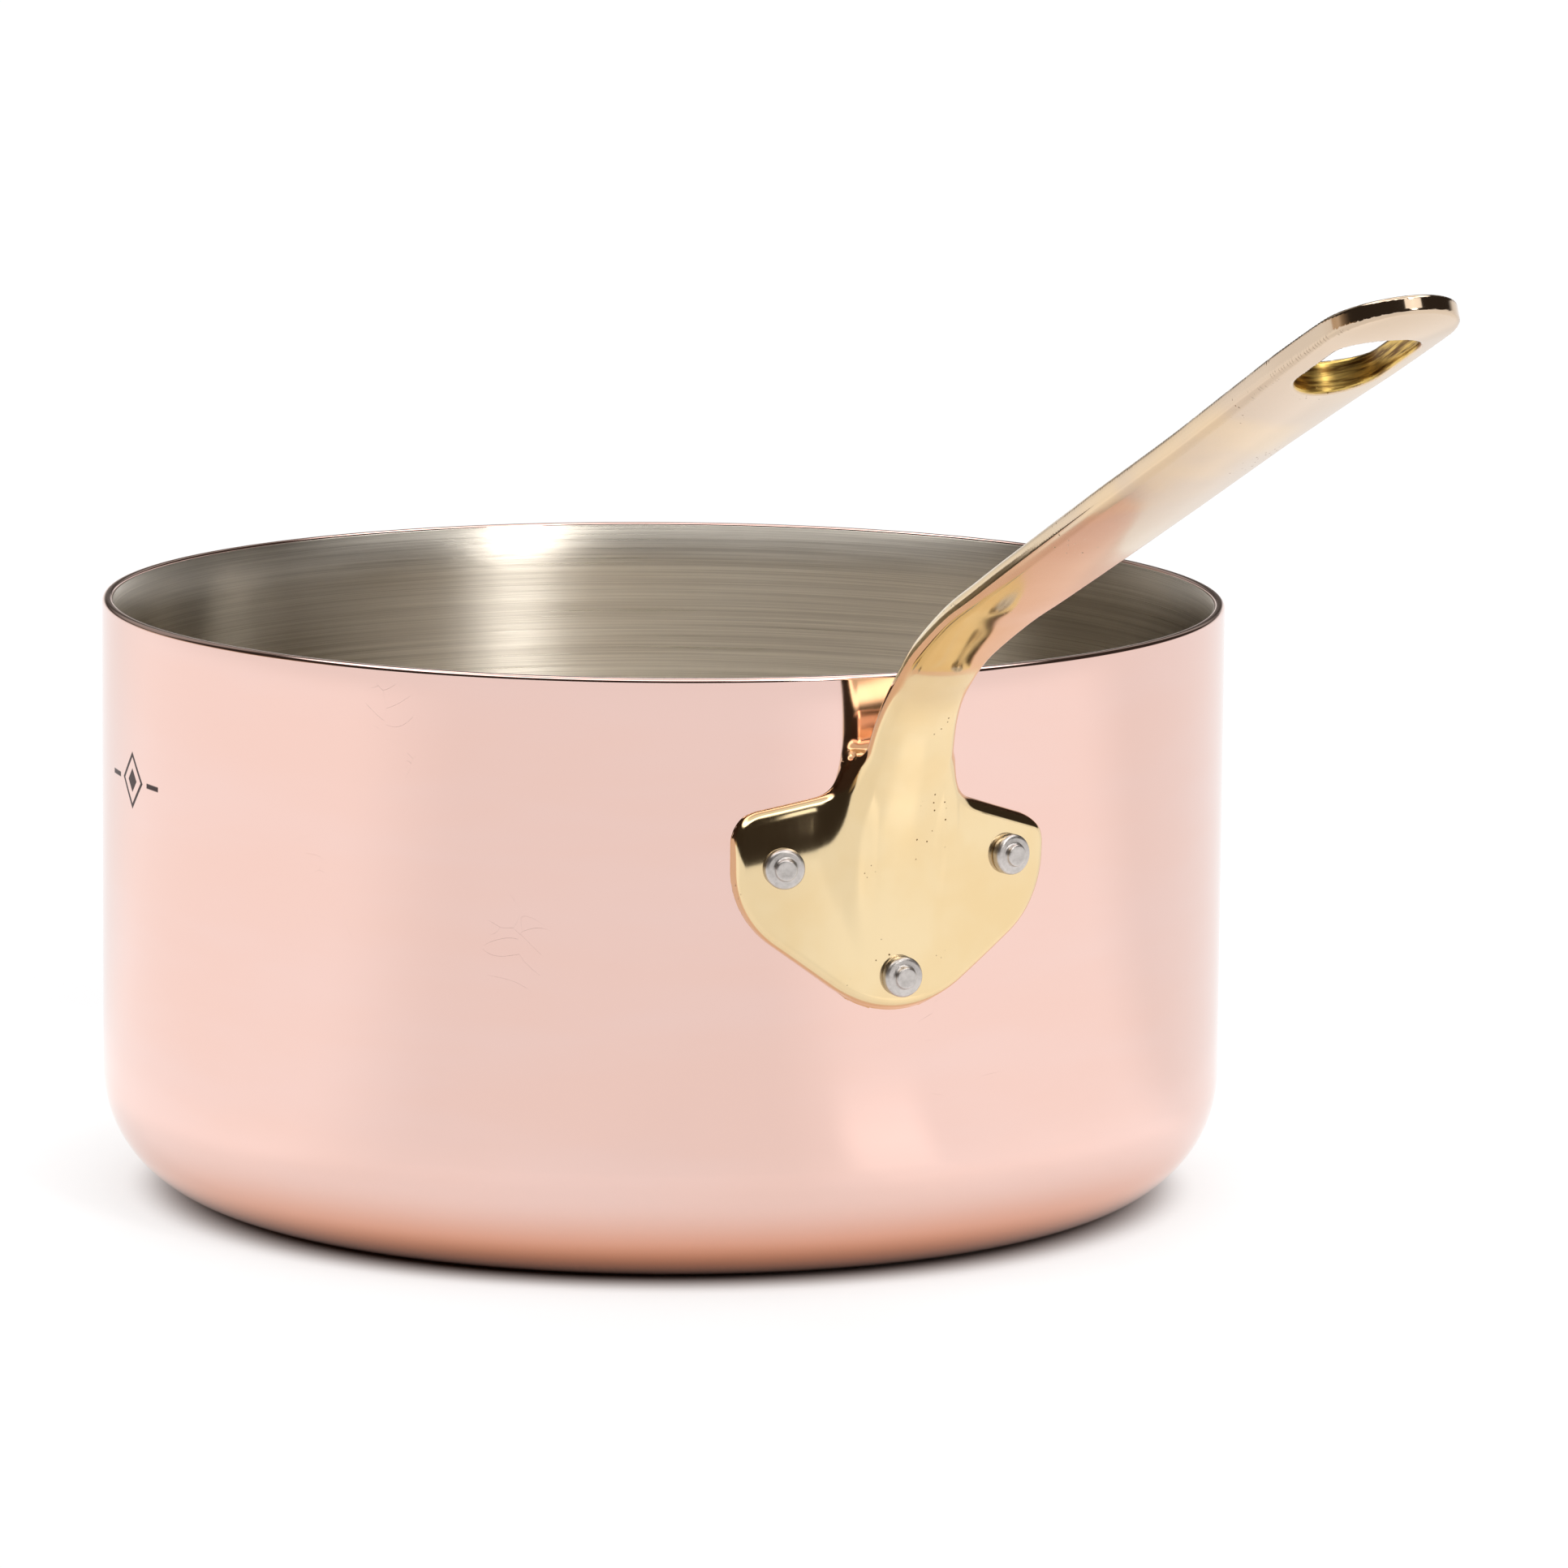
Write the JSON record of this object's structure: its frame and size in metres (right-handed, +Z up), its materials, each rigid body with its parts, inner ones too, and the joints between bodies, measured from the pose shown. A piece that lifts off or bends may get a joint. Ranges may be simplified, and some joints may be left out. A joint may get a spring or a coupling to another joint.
{
  "type": "saucepan",
  "caption": "Straight-sided copper saucepan with a bonded steel lining and a long cast brass handle riveted to the wall, ending in a hanging eye.",
  "frame": {"origin": "centre of the pan's flat underside", "axes": "+Z up out of the pan's mouth, +X from the pan's axis along the handle, +Y to the left of someone looking out along the handle"},
  "size_m": [0.3969, 0.204, 0.1938],
  "materials": {
    "polished_copper": "mirror-polished copper with faint circular brushing",
    "brushed_lining": "stainless steel with fine circular brush lines",
    "cast_brass": "polished cast brass with soft edges and small casting pores",
    "rivet_metal": "satin silver-coloured rivet"
  },
  "bodies": {
    "root": {"copper_body": "polished_copper", "steel_lining": "brushed_lining", "brass_handle": "cast_brass", "rivet_upper_left": "rivet_metal", "rivet_upper_right": "rivet_metal", "rivet_lower": "rivet_metal"}
  },
  "joints": []
}
